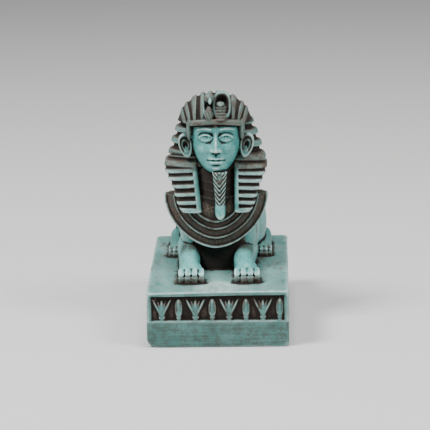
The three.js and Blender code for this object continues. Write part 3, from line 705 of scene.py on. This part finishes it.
def vulture(casting):
    """The vulture beside it: a narrow plate with a thin rim, a round head with a beak, a feathered breast."""

    def relief(s, up):
        return 0.55 * hump(s, 0.84, 0.15) - 0.8 * (1 - smooth(s, 0.55, 0.78))

    def wash(s, up):
        return (1 - smooth(s, 0.6, 0.8)) * hump(up, -0.05, 0.4)

    x = -3.0
    arched_plate(casting, (x, -17.9, EMBLEM_BASE + 5.4), (2.55, 5.5), 0.18, relief, wash, 3.0)
    casting.ball((x + 0.2, -18.2, EMBLEM_BASE + 8.8), (2.2, 2.6, 1.95), 0.0, 0.42)
    casting.ball((x + 0.5, -20.6, EMBLEM_BASE + 7.9), (0.75, 0.9, 1.5), -0.3, 0.2, 24, 26)
    rise = column(0, 5.6, 64)
    half = along([[0, 1.3], [1.2, 1.85], [3.0, 1.75], [4.6, 1.25], [5.6, 0.6]], rise)[0]
    feather = 0.5 + 0.5 * np.cos(9 * turns(72) + 1.7 * rise)
    c, sn = bow(turns(72), 2.2)
    half = half - 0.3 * (1 - feather)
    y = -19.0 + 0.15 * rise + half * sn
    casting.form(x + half * c, y, EMBLEM_BASE - 0.3 + rise, 0.9 - 0.6 * feather)


def kings_head(casting):
    for part in (throat, face, beard, cowl, crown, brow_band, queue):
        part(casting)
    for side in (1, -1):
        ear(casting, side)
        lappet(casting, side)
    cobra(casting)
    vulture(casting)


# Casting the shells into one skin


def whole_casting():
    """All the shells in millimetres: the figure is made on a floor at 0 and then lifted on to the plinth."""
    figure = Casting()
    lion(figure)
    collar(figure)
    kings_head(figure)
    for points in figure.points:
        points[:, 2] += PLINTH_TOP
    plinth(figure)
    return np.concatenate(figure.points), np.concatenate(figure.faces), np.concatenate(figure.wash)


def mesh_from(name, points, faces):
    """A Blender mesh from an array of points in metres and an array of triangles."""
    mesh = bpy.data.meshes.new(name)
    mesh.vertices.add(len(points))
    mesh.vertices.foreach_set("co", points.astype(np.float32).ravel())
    mesh.loops.add(faces.size)
    mesh.loops.foreach_set("vertex_index", faces.astype(np.int32).ravel())
    mesh.polygons.add(len(faces))
    mesh.polygons.foreach_set("loop_start", np.arange(0, faces.size, 3, dtype=np.int32))
    mesh.update(calc_edges=True)
    return mesh


def put_values(mesh, name, values):
    """Writes three numbers a point into a colour layer, which is made if the mesh has none of that name."""
    layer = mesh.attributes.get(name) or mesh.attributes.new(name, "FLOAT_COLOR", "POINT")
    colour = np.ones((len(values), 4), np.float32)
    colour[:, :3] = values
    layer.data.foreach_set("color", colour.ravel())


def read(items, field, width):
    """A field of all the items as an array, width numbers to a row."""
    values = np.empty(len(items) * width, np.float32)
    items.foreach_get(field, values)
    return values.reshape(-1, width).astype(float)


def move_to(mesh, points):
    """Puts a mesh's points at places in metres."""
    mesh.vertices.foreach_set("co", points.astype(np.float32).ravel())
    mesh.update()


def finished(obj):
    """The mesh that an object's modifiers make."""
    depsgraph = bpy.context.evaluated_depsgraph_get()
    return bpy.data.meshes.new_from_object(obj.evaluated_get(depsgraph))


class Smoother:
    """Moves each vertex value to the mean of its neighbours' values along the edges of a mesh."""

    def __init__(self, mesh):
        pairs = np.empty(len(mesh.edges) * 2, np.int32)
        mesh.edges.foreach_get("vertices", pairs)
        self.a, self.b = pairs.reshape(-1, 2).T
        self.count = len(mesh.vertices)
        self.degree = np.bincount(self.a, minlength=self.count) + np.bincount(self.b, minlength=self.count)

    def once(self, values):
        total = np.empty_like(values)
        for k, value in enumerate(values.T):
            total[:, k] = np.bincount(self.a, value[self.b], self.count)
            total[:, k] += np.bincount(self.b, value[self.a], self.count)
        return total / self.degree[:, None]

    def run(self, values, times):
        for _ in range(times):
            values = 0.5 * values + 0.5 * self.once(values)
        return values


def on_ledge(z):
    """True at heights on the plinth's top."""
    return np.abs(z - PLINTH_TOP) < 0.9


def worn(points, normal):
    """The casting's own unevenness in millimetres: its skin waves a little, the plinth's top edge sags at the
    left front, and its foot is rubbed round there."""
    wave = 0.11 * lattice_noise(points + 7.3, 9.0, 11) + 0.05 * lattice_noise(points + 3.1, 2.6, 21)
    moved = points + normal * wave[:, None]
    x, y, z = points.T
    front = smooth(-y, 38.0, 52.0)
    left = smooth(-x, -6.0, 27.0)
    edge = smooth(z, 19.0, 22.5) * (1 - smooth(z, 24.5, 27.5))
    moved[:, 2] -= SAG * edge * front * left
    round_foot = FOOT_RADIUS - np.sqrt(FOOT_RADIUS ** 2 - np.clip(FOOT_RADIUS - z, 0, FOOT_RADIUS) ** 2)
    rub = smooth(-x, 20.0, 28.0) * front * round_foot
    moved[:, 0] += rub
    moved[:, 1] += 0.3 * rub
    return moved


def pooled(points, normal):
    """The wash that ran together on the plinth's top round the figure's foot: the foot's plan is drawn on a
    grid and blurred with a narrow and a wide bell, and the wash lies where it is thick."""
    x, y, z = points.T
    cells, cell = 256, 0.5
    reach = cells * cell / 2
    foot = (z > PLINTH_TOP + 0.7) & (z < PLINTH_TOP + 2.5)
    plan, _, _ = np.histogram2d(x[foot], y[foot], cells, [[-reach, reach], [-reach, reach]])
    wave = np.fft.fftfreq(cells, cell)
    lines = np.fft.fft2((plan > 0).astype(float))
    i, j = (np.clip(((value + reach) / cell).astype(int), 0, cells - 1) for value in (x, y))

    def blurred(width):
        spread = np.exp(-2 * (np.pi * width) ** 2 * (wave[:, None] ** 2 + wave[None, :] ** 2))
        return np.fft.ifft2(lines * spread).real[i, j]

    top = smooth(normal[:, 2], 0.6, 0.9) * on_ledge(z)
    ankle = (1 - smooth(z, PLINTH_TOP + 0.25, PLINTH_TOP + 0.9)) * (z > PLINTH_TOP + 0.1)
    pool = 0.18 * smooth(blurred(1.3), 0.05, 0.5) + 0.32 * smooth(blurred(4.4), 0.02, 0.2)
    return pool * top + 0.15 * ankle


def cast_skin(voxel):
    """One closed mesh over all the shells. A voxel remesh joins them, and the wash is carried across."""
    points, faces, wash = whole_casting()
    shells = mesh_from("shells", points * MM, faces)
    put_values(shells, "paint", np.repeat(wash[:, None], 3, 1))
    source = new_object("shells", shells)
    body = new_object("sphinx_casting", shells.copy())
    remesh = body.modifiers.new("Join", "REMESH")
    remesh.mode = "VOXEL"
    remesh.voxel_size = voxel
    swap_mesh(body, finished(body))
    put_values(body.data, "paint", np.zeros((len(body.data.vertices), 3)))
    transfer = body.modifiers.new("Paint", "DATA_TRANSFER")
    transfer.object = source
    transfer.use_vert_data = True
    transfer.data_types_verts = {"COLOR_VERTEX"}
    transfer.vert_mapping = "POLYINTERP_NEAREST"
    swap_mesh(body, finished(body))
    bpy.data.objects.remove(source)
    bpy.data.meshes.remove(shells)
    return body


def new_object(name, mesh):
    obj = bpy.data.objects.new(name, mesh)
    bpy.context.collection.objects.link(obj)
    return obj


def swap_mesh(obj, mesh):
    """Gives an object the mesh that its modifiers made, and takes the modifiers off."""
    old = obj.data
    obj.modifiers.clear()
    obj.data = mesh
    bpy.data.meshes.remove(old)
    mesh.name = obj.name


def model_casting(settings):
    """The whole piece: the joined skin, its unevenness, masks of its hollows and edges, and its thinning. The
    hollow mask holds brown wash in the fine hollows and painted shade in the broad ones.
    """
    body = cast_skin(settings.grain)
    mesh = body.data
    smoother = Smoother(mesh)
    points = smoother.run(read(mesh.vertices, "co", 3) / MM, 2)
    move_to(mesh, points * MM)
    normal = read(mesh.vertex_normals, "vector", 3)
    near = smoother.run(points, 10)
    far = smoother.run(near, 70)
    fine = ((near - points) * normal).sum(1)
    broad = ((far - points) * normal).sum(1)
    painted = read(mesh.attributes["paint"].data, "color", 4)[:, :1]
    # Brown wash in the fine hollows, and painted shade in the broad hollows under the chin, under the collar
    # and between the forelegs.
    hollow_and_shade = smooth(fine, 0.010, 0.085) * 0.8 + smooth(broad, 0.04, 0.38) * 0.8
    edge = smooth(-fine, 0.015, 0.12) * 0.65 + smooth(-broad, 0.08, 0.5) * 0.5
    hollow_and_shade = hollow_and_shade + pooled(points, normal)
    x, y, z = points.T
    # The plinth's up-facing top is drawn paler, most of all near its front middle.
    paler_top = 0.38 + 0.8 * hump(x, 0.5, 6.5) * hump(y, -44.0, 8.0)
    edge = edge + paler_top * smooth(normal[:, 2], 0.75, 0.97) * on_ledge(z)
    edge = edge + 0.36 * hump(z, FRIEZE_BASE - 0.5, 0.8) * (1 - smooth(np.abs(normal[:, 2]), 0.5, 0.9))
    blur = smoother.run(np.column_stack([smoother.run(painted, 5), hollow_and_shade, edge]), 2)
    put_values(mesh, "paint", np.clip(blur, 0, 1))
    move_to(mesh, worn(points, normal) * MM)
    thin = body.modifiers.new("Thin", "DECIMATE")
    thin.ratio = min(1.0, settings.triangles / (2.0 * len(mesh.polygons)))
    swap_mesh(body, finished(body))
    mesh = body.data
    low, high = [np.array(corner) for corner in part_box(NODE)]
    spare = np.array([SIDE_SPARE * MM, 0.0, 0.0])
    mesh.polygons.foreach_set("use_smooth", np.ones(len(mesh.polygons), bool))
    move_to(mesh, np.clip(read(mesh.vertices, "co", 3), low - spare, high + spare))
    return body


# Paint


class Value:
    """A number that varies over a surface. Arithmetic on such numbers adds Math nodes."""

    def __init__(self, finish, socket):
        self.finish, self.socket = finish, socket

    def math(self, operation, *others):
        node = self.finish.node("ShaderNodeMath", {"operation": operation}, dict(enumerate((self, *others))))
        return Value(self.finish, node.outputs[0])

    def __add__(self, other):
        return self.math("ADD", other)

    def __mul__(self, other):
        return self.math("MULTIPLY", other)

    def __sub__(self, other):
        return self.math("SUBTRACT", other)

    def __rsub__(self, other):
        return (self * -1.0).math("ADD", other)

    __radd__ = __add__
    __rmul__ = __mul__

    def rise(self, low, high):
        """0 below low and 1 above high, with a smooth step between them."""
        ends = {0: self, 1: low, 2: high, 3: 0.0, 4: 1.0}
        node = self.finish.node("ShaderNodeMapRange", {"interpolation_type": "SMOOTHSTEP"}, ends)
        return Value(self.finish, node.outputs[0])


class Finish:
    """A material and the nodes that are added to it."""

    def __init__(self, name):
        self.material = bpy.data.materials.new(name)
        self.material.use_nodes = True
        self.tree = self.material.node_tree
        self.shader = self.tree.nodes["Principled BSDF"]

    def node(self, kind, settings, inputs):
        """A node of a kind, with its settings first and then the values or links of its sockets."""
        node = self.tree.nodes.new(kind)
        for name, value in settings.items():
            setattr(node, name, value)
        self.fill(node, inputs)
        return node

    def fill(self, node, inputs):
        for name, value in inputs.items():
            value = value.socket if isinstance(value, Value) else value
            if isinstance(value, bpy.types.NodeSocket):
                self.tree.links.new(value, node.inputs[name])
            else:
                node.inputs[name].default_value = value

    def mix(self, share, first, second):
        """A colour that goes from the first to the second by share."""
        node = self.node("ShaderNodeMix", {"data_type": "RGBA"}, {0: share, 6: first, 7: second})
        return node.outputs[2]

    def stretched(self, place, *scale):
        """A place times three numbers, so that a noise on it is longer where a number is small."""
        return self.node("ShaderNodeMapping", {}, {"Vector": place, "Scale": scale}).outputs[0]

    def noise(self, place, scale, detail, roughness):
        inputs = {"Vector": place, "Scale": scale, "Detail": detail, "Roughness": roughness}
        return Value(self, self.node("ShaderNodeTexNoise", {}, inputs).outputs[0])


def patina(settings):
    """Turquoise paint of two depths, rubbed pale on raised places, with a brown wash left in the hollows, and
    painted shade in the broad hollows, on the throat and on the breast under the collar.
    """
    finish = Finish("turquoise paint with brown wash")
    place = finish.node("ShaderNodeTexCoord", {}, {}).outputs["Object"]
    height = Value(finish, finish.node("ShaderNodeSeparateXYZ", {}, {0: place}).outputs[2])
    layer = finish.node("ShaderNodeAttribute", {"attribute_name": "paint"}, {}).outputs["Color"]
    parts = finish.node("ShaderNodeSeparateColor", {}, {0: layer}).outputs
    painted, hollow_and_shade, edge = (Value(finish, socket) for socket in parts)
    lengthwise = finish.stretched(place, 1.0, 0.3, 1.0)
    cloud = finish.noise(lengthwise, 90.0, 4.0, 0.6)
    mottle = finish.noise(lengthwise, 420.0, 5.0, 0.65)
    speck = finish.noise(place, 1500.0, 3.0, 0.6)
    streak = finish.noise(finish.stretched(place, 40.0, 40.0, 1250.0), 1.0, 5.0, 0.6)
    base = 1.0 - height.rise(0.0085, 0.0135)
    brushed = base * streak.rise(0.35, 0.7)
    uneven = ((mottle - 0.5) * 0.6 + (cloud - 0.5) * 0.35) * (1.0 - 0.45 * base)
    blotch = finish.noise(lengthwise, 230.0, 6.0, 0.7).rise(0.5, 0.74) * (1.0 - 0.75 * base)
    # The wash share: brown wash in the grooves and bands, with painted shade in the broad hollows, on the
    # throat and on the breast.
    wash = painted * 0.9 + hollow_and_shade + uneven + brushed * 0.06 + painted.rise(0.1, 0.3) * blotch * 0.42
    wash = wash.rise(0.14, 0.92)
    rub = edge * 1.15 + (mottle - 0.5) * 0.8 + (cloud - 0.5) * 0.5 + (streak - 0.5) * base * 2.0
    rub = (rub - hollow_and_shade * 0.6).rise(0.12, 0.9) * (1.0 - 0.5 * painted.rise(0.24, 0.5))
    depth = (cloud * 0.6 + mottle * 0.4).rise(0.36, 0.62)
    colour = finish.mix(depth, (*settings.deep, 1.0), (*settings.turquoise, 1.0))
    colour = finish.mix(rub, colour, (*settings.rubbed, 1.0))
    film = painted.rise(0.02, 0.34) * (0.34 + 0.3 * mottle.rise(0.4, 0.62)) + 0.16 * speck.rise(0.45, 0.75)
    film = film + 0.25 * brushed + 0.1 * base + 0.22 * painted.rise(0.28, 0.34)
    colour = finish.mix(film * (1.0 - rub * 0.45), colour, (*settings.film, 1.0))
    dust = painted.rise(0.33, 0.46) * (1.0 - painted.rise(0.62, 0.85)) * (0.4 + 0.4 * mottle.rise(0.35, 0.65))
    colour = finish.mix(dust, colour, (*settings.dust, 1.0))
    dry = (0.25 + 0.75 * speck.rise(0.4, 0.7) * mottle.rise(0.35, 0.65)) * (1.0 - hollow_and_shade.rise(0.1, 0.75))
    # Where the wash is nearly full it stays at its darkest: on the throat and the breast that is painted
    # shade, on the frieze ground brown wash.
    dry = dry * (1.0 - 0.85 * painted.rise(0.88, 0.95))
    earth = finish.mix(dry, (*settings.wash, 1.0), (*settings.earth, 1.0))
    colour = finish.mix(wash * 0.98, colour, earth)
    pits = finish.noise(place, 900.0, 4.0, 0.6) * 0.6 + streak * base * 0.5
    bump = finish.node("ShaderNodeBump", {}, {"Strength": 0.35, "Distance": 0.25 * MM, "Height": pits})
    finish.fill(finish.shader, {
        "Base Color": colour, "Roughness": 0.30 + 0.16 * mottle + 0.42 * wash + 0.16 * film,
        "Normal": bump.outputs[0], "Specular IOR Level": 0.36,
    })
    return finish.material


def plain_finish(name, colour, roughness):
    finish = Finish(name)
    finish.fill(finish.shader, {"Base Color": (*colour, 1.0), "Roughness": roughness})
    return finish.material


# Stage

CAMERA_TARGET = (-1.687, 0.0, 43.226)
CAMERA_DISTANCE = 1109.855
CAMERA_YAW = 1.385
CAMERA_ELEVATION = 12.0
CAMERA_ROLL = -0.951
FOCAL_PIXELS = 2656.762
FRAME_PIXELS = 430
SENSOR = 36.0
FLOOR_REACH = 3.0


def camera():
    """The photograph's camera: it looks at the target from its distance, yaw and elevation, and is rolled."""
    a, e, r = (math.radians(v) for v in (CAMERA_YAW, CAMERA_ELEVATION, CAMERA_ROLL))
    back = Vector((math.sin(a) * math.cos(e), -math.cos(a) * math.cos(e), math.sin(e)))
    right = Vector((math.cos(a), math.sin(a), 0.0))
    up = back.cross(right)
    across = right * math.cos(r) + up * math.sin(r)
    upward = up * math.cos(r) - right * math.sin(r)
    data = bpy.data.cameras.new("camera")
    data.sensor_width = SENSOR
    data.lens = FOCAL_PIXELS * SENSOR / FRAME_PIXELS
    data.clip_end = 20.0
    obj = bpy.data.objects.new("camera", data)
    turn = Matrix((across, upward, back)).transposed().to_4x4()
    obj.matrix_world = Matrix.Translation((Vector(CAMERA_TARGET) + back * CAMERA_DISTANCE) * MM) @ turn
    bpy.context.collection.objects.link(obj)
    bpy.context.scene.camera = obj


def lamp(name, place, aim, size, power):
    """A soft square light at a place in metres, turned to the point it aims at."""
    data = bpy.data.lights.new(name, "AREA")
    data.size, data.energy = size, power
    obj = bpy.data.objects.new(name, data)
    obj.location = place
    obj.rotation_euler = (Vector(aim) - Vector(place)).to_track_quat("-Z", "Y").to_euler()
    bpy.context.collection.objects.link(obj)
    return obj


def floor(settings):
    """A sheet that lies flat round the piece: the square between four corners at height 0."""
    points = FLOOR_REACH * np.array([(-1.0, -1.0, 0.0), (1.0, -1.0, 0.0), (1.0, 1.0, 0.0), (-1.0, 1.0, 0.0)])
    obj = new_object("floor", mesh_from("floor", points, np.array([(0, 1, 2), (0, 2, 3)])))
    obj.data.materials.append(plain_finish("pale floor", settings.floor, 0.9))
    return obj


# Add-on


class CastSphinxSettings(bpy.types.PropertyGroup):
    grain: bpy.props.FloatProperty(
        name="Grain", description="Size of the finest detail that the casting holds", default=0.00025,
        min=0.0001, max=0.002, subtype="DISTANCE", unit="LENGTH",
    )
    triangles: bpy.props.IntProperty(
        name="Triangles", description="Most triangles in the finished piece",
        default=196000, min=1000, max=199000,
    )
    turquoise: bpy.props.FloatVectorProperty(
        name="Turquoise", description="The paint where it lies thin", default=(0.150, 0.452, 0.430),
        min=0, max=1, subtype="COLOR",
    )
    deep: bpy.props.FloatVectorProperty(
        name="Deep turquoise", description="The paint where it lies thick", default=(0.058, 0.262, 0.246),
        min=0, max=1, subtype="COLOR",
    )
    rubbed: bpy.props.FloatVectorProperty(
        name="Rubbed edges", description="The paint where raised places are rubbed pale",
        default=(0.44, 0.655, 0.620), min=0, max=1, subtype="COLOR",
    )
    film: bpy.props.FloatVectorProperty(
        name="Thin wash", description="The brown film over the open surfaces", default=(0.050, 0.053, 0.040),
        min=0, max=1, subtype="COLOR",
    )
    # The brown wash colour also paints the shade under the chin, under the collar and between the forelegs.
    wash: bpy.props.FloatVectorProperty(
        name="Brown wash", description="The wash that fills the hollows", default=(0.0115, 0.0064, 0.0046),
        min=0, max=1, subtype="COLOR",
    )
    earth: bpy.props.FloatVectorProperty(
        name="Dry wash", description="The wash where it has dried thin in the hollows",
        default=(0.135, 0.098, 0.076), min=0, max=1, subtype="COLOR",
    )
    dust: bpy.props.FloatVectorProperty(
        name="Dusty film", description="The grey film over the headcloth's ridges and the nails",
        default=(0.182, 0.182, 0.155), min=0, max=1, subtype="COLOR",
    )
    floor: bpy.props.FloatVectorProperty(
        name="Floor", description="Colour of the floor", default=(0.66, 0.66, 0.65),
        min=0, max=1, subtype="COLOR",
    )


class SPHINX_OT_casting(bpy.types.Operator):
    """Model the sphinx and its plinth as one casting, and paint it"""

    bl_idname = "sphinx.casting"
    bl_label = "Sphinx on its plinth"

    def execute(self, context):
        settings = context.scene.cast_sphinx
        body = model_casting(settings)
        body.data.materials.clear()
        body.data.materials.append(patina(settings))
        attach(body, "root")
        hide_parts(NODE)
        return {"FINISHED"}


class SPHINX_OT_stage(bpy.types.Operator):
    """Set the floor, the lights and the camera"""

    bl_idname = "sphinx.stage"
    bl_label = "Stage"

    def execute(self, context):
        ground = floor(context.scene.cast_sphinx)
        aim = (0.0, 0.0, 0.045)
        lamps = [
            lamp("key light", (-0.55, -0.35, 0.9), aim, 0.35, 14.0),
            lamp("fill light", (0.65, -0.4, 0.75), aim, 0.4, 7.0),
            lamp("top light", (0.05, 0.0, 1.15), aim, 0.45, 8.5),
        ]
        world = bpy.data.worlds.new("room light")
        world.use_nodes = True
        world.node_tree.nodes["Background"].inputs[0].default_value = (0.93, 0.96, 1.0, 1.0)
        world.node_tree.nodes["Background"].inputs[1].default_value = 0.12
        context.scene.world = world
        camera()
        return {"FINISHED"}


class SPHINX_PT_sidebar(bpy.types.Panel):
    """Lists the steps that build the sphinx"""

    bl_idname = "SPHINX_PT_sidebar"
    bl_label = "Cast sphinx"
    bl_space_type = "VIEW_3D"
    bl_region_type = "UI"
    bl_category = "Sphinx"

    def draw(self, context):
        settings = context.scene.cast_sphinx
        for name in CastSphinxSettings.__annotations__:
            self.layout.prop(settings, name)
        for step in STEPS:
            self.layout.operator(step.bl_idname)


STEPS = (SPHINX_OT_casting, SPHINX_OT_stage)
CLASSES = (CastSphinxSettings, *STEPS, SPHINX_PT_sidebar)


def register():
    for item in CLASSES:
        bpy.utils.register_class(item)
    bpy.types.Scene.cast_sphinx = bpy.props.PointerProperty(type=CastSphinxSettings)


def unregister():
    del bpy.types.Scene.cast_sphinx
    for item in reversed(CLASSES):
        bpy.utils.unregister_class(item)


def main():
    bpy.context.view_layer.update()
    register()
    bpy.ops.sphinx.casting()
    bpy.ops.sphinx.stage()


if __name__ == "__main__":
    main()
